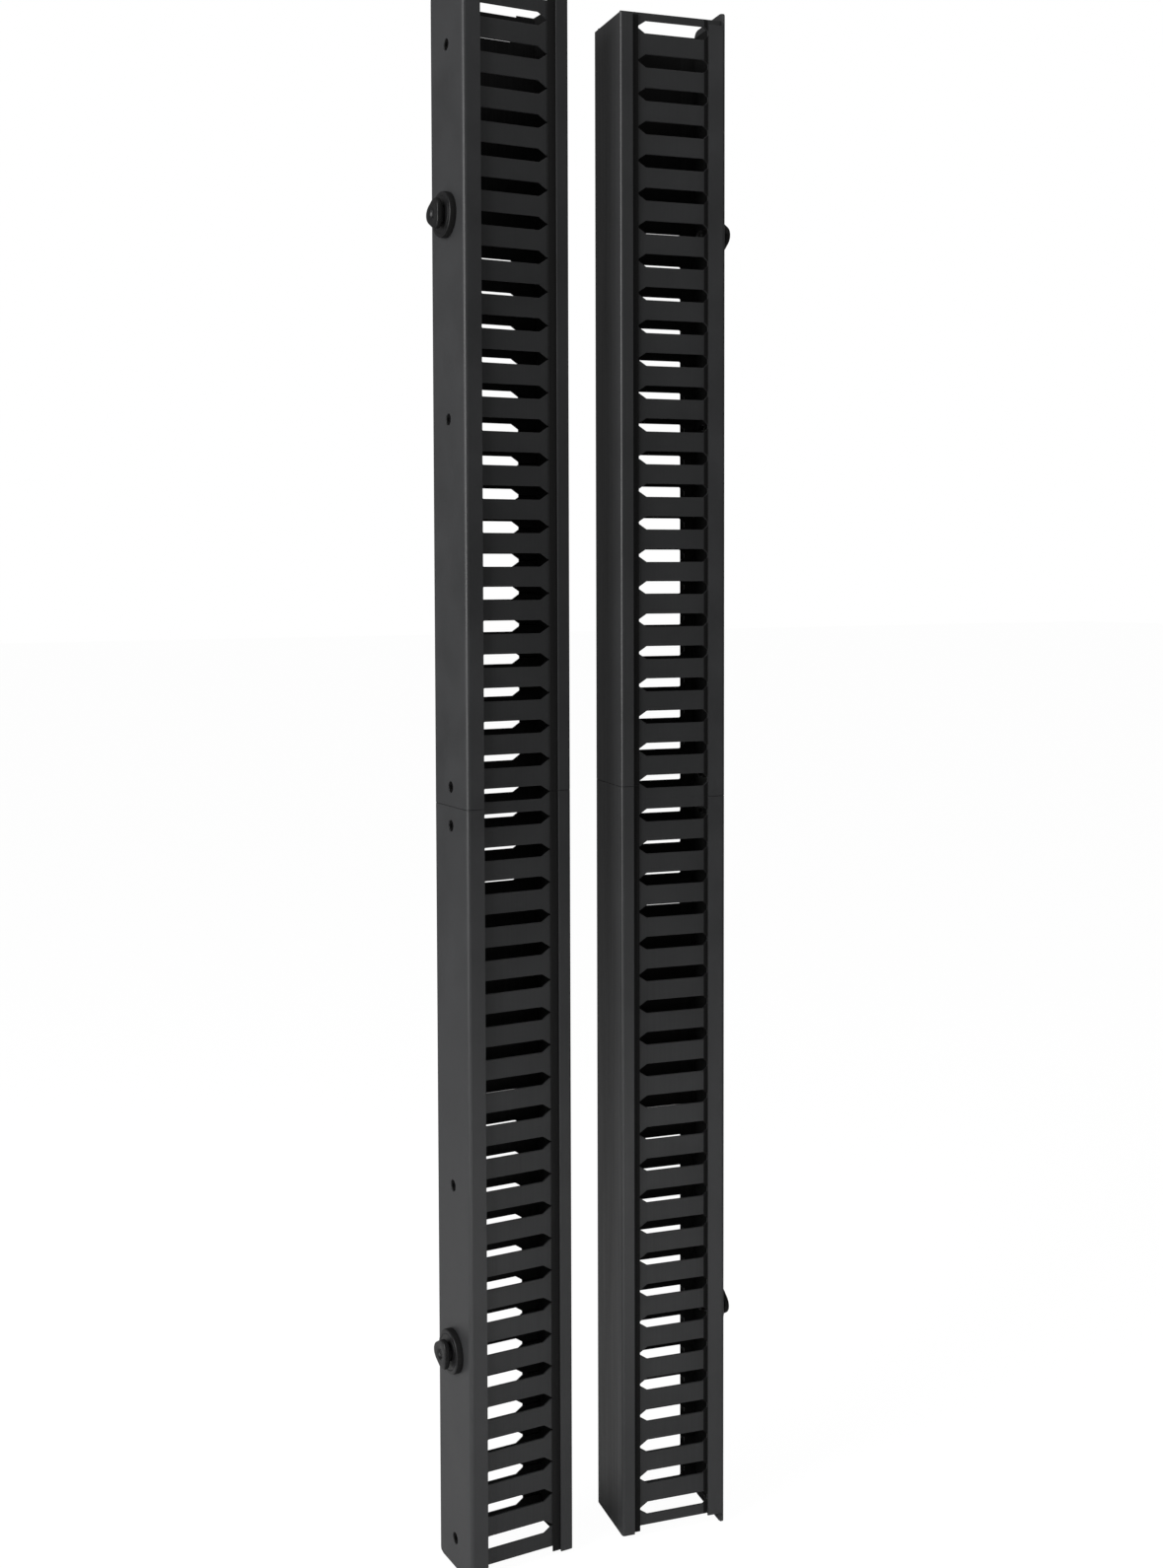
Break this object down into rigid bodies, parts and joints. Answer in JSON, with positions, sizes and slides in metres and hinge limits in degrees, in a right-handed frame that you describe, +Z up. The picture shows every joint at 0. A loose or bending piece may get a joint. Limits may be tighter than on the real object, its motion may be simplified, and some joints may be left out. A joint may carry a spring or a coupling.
{
  "type": "vertical finger duct cable manager pair",
  "caption": "Upright finger duct cable managers for a rack: slotted ducts with push-on covers on steel back channels, held by round mounting buttons with hand knobs.",
  "frame": {"origin": "on the floor, under the middle of the pair's box", "axes": "+Z up the columns; +X from the left column's back face towards its cover; -Y is the side the picture looks from"},
  "size_m": [0.3768, 0.1174, 1.8382],
  "materials": {
    "painted_steel": "satin black powder coat",
    "duct_plastic": "black extruded plastic",
    "cover_plastic": "black extruded plastic, satin",
    "knob_plastic": "black moulded plastic",
    "black_screw": "blackened steel",
    "zinc_steel": "zinc plated"
  },
  "bodies": {
    "frame": {"left_back_channel_lower": "painted_steel", "left_back_channel_upper": "painted_steel", "left_button_lower_collar": "knob_plastic", "left_button_lower_nut": "zinc_steel", "left_button_lower_washer": "zinc_steel", "left_button_upper_collar": "knob_plastic", "left_button_upper_nut": "zinc_steel", "left_button_upper_washer": "zinc_steel", "left_duct_nut_lower_1": "zinc_steel", "left_duct_nut_lower_2": "zinc_steel", "left_duct_nut_lower_3": "zinc_steel", "left_duct_nut_upper_1": "zinc_steel", "left_duct_nut_upper_2": "zinc_steel", "left_duct_nut_upper_3": "zinc_steel", "left_duct_screw_lower_1": "black_screw", "left_duct_screw_lower_2": "black_screw", "left_duct_screw_lower_3": "black_screw", "left_duct_screw_upper_1": "black_screw", "left_duct_screw_upper_2": "black_screw", "left_duct_screw_upper_3": "black_screw", "left_finger_duct_lower": "duct_plastic", "left_finger_duct_upper": "duct_plastic", "left_joining_plate": "zinc_steel", "right_back_channel_lower": "painted_steel", "right_back_channel_upper": "painted_steel", "right_button_lower_collar": "knob_plastic", "right_button_lower_nut": "zinc_steel", "right_button_lower_washer": "zinc_steel", "right_button_upper_collar": "knob_plastic", "right_button_upper_nut": "zinc_steel", "right_button_upper_washer": "zinc_steel", "right_duct_nut_lower_1": "zinc_steel", "right_duct_nut_lower_2": "zinc_steel", "right_duct_nut_lower_3": "zinc_steel", "right_duct_nut_upper_1": "zinc_steel", "right_duct_nut_upper_2": "zinc_steel", "right_duct_nut_upper_3": "zinc_steel", "right_duct_screw_lower_1": "black_screw", "right_duct_screw_lower_2": "black_screw", "right_duct_screw_lower_3": "black_screw", "right_duct_screw_upper_1": "black_screw", "right_duct_screw_upper_2": "black_screw", "right_duct_screw_upper_3": "black_screw", "right_finger_duct_lower": "duct_plastic", "right_finger_duct_upper": "duct_plastic", "right_joining_plate": "zinc_steel"},
    "left_button_lower_hand_knob": {"left_button_lower_knob": "knob_plastic", "left_button_lower_stud": "zinc_steel"},
    "left_button_upper_hand_knob": {"left_button_upper_knob": "knob_plastic", "left_button_upper_stud": "zinc_steel"},
    "left_cover_lower": {"left_cover_lower": "cover_plastic"},
    "left_cover_upper": {"left_cover_upper": "cover_plastic"},
    "right_button_lower_hand_knob": {"right_button_lower_knob": "knob_plastic", "right_button_lower_stud": "zinc_steel"},
    "right_button_upper_hand_knob": {"right_button_upper_knob": "knob_plastic", "right_button_upper_stud": "zinc_steel"},
    "right_cover_lower": {"right_cover_lower": "cover_plastic"},
    "right_cover_upper": {"right_cover_upper": "cover_plastic"}
  },
  "joints": [
    {"name": "left_cover_upper_lift_off", "type": "slide", "parent": "frame", "child": "left_cover_upper", "axis": [1, 0, 0], "range_m": [0, 0.025]},
    {"name": "left_cover_lower_lift_off", "type": "slide", "parent": "frame", "child": "left_cover_lower", "axis": [1, 0, 0], "range_m": [0, 0.025]},
    {"name": "left_knob_upper_turn", "type": "hinge", "parent": "frame", "child": "left_button_upper_hand_knob", "pos_m": [-0.17007, 0.01395, 1.5821], "axis": [-1, 0, 0], "continuous": true},
    {"name": "left_knob_lower_turn", "type": "hinge", "parent": "frame", "child": "left_button_lower_hand_knob", "pos_m": [-0.17007, 0.01395, 0.2611], "axis": [-1, 0, 0], "continuous": true},
    {"name": "right_cover_upper_lift_off", "type": "slide", "parent": "frame", "child": "right_cover_upper", "axis": [-0.9869, 0.1616, 0], "range_m": [0, 0.025]},
    {"name": "right_cover_lower_lift_off", "type": "slide", "parent": "frame", "child": "right_cover_lower", "axis": [-0.9869, 0.1616, 0], "range_m": [0, 0.025]},
    {"name": "right_knob_upper_turn", "type": "hinge", "parent": "frame", "child": "right_button_upper_hand_knob", "pos_m": [0.168, -0.01519, 1.5821], "axis": [0.9869, -0.1616, 0], "continuous": true},
    {"name": "right_knob_lower_turn", "type": "hinge", "parent": "frame", "child": "right_button_lower_hand_knob", "pos_m": [0.168, -0.01519, 0.2611], "axis": [0.9869, -0.1616, 0], "continuous": true}
  ]
}
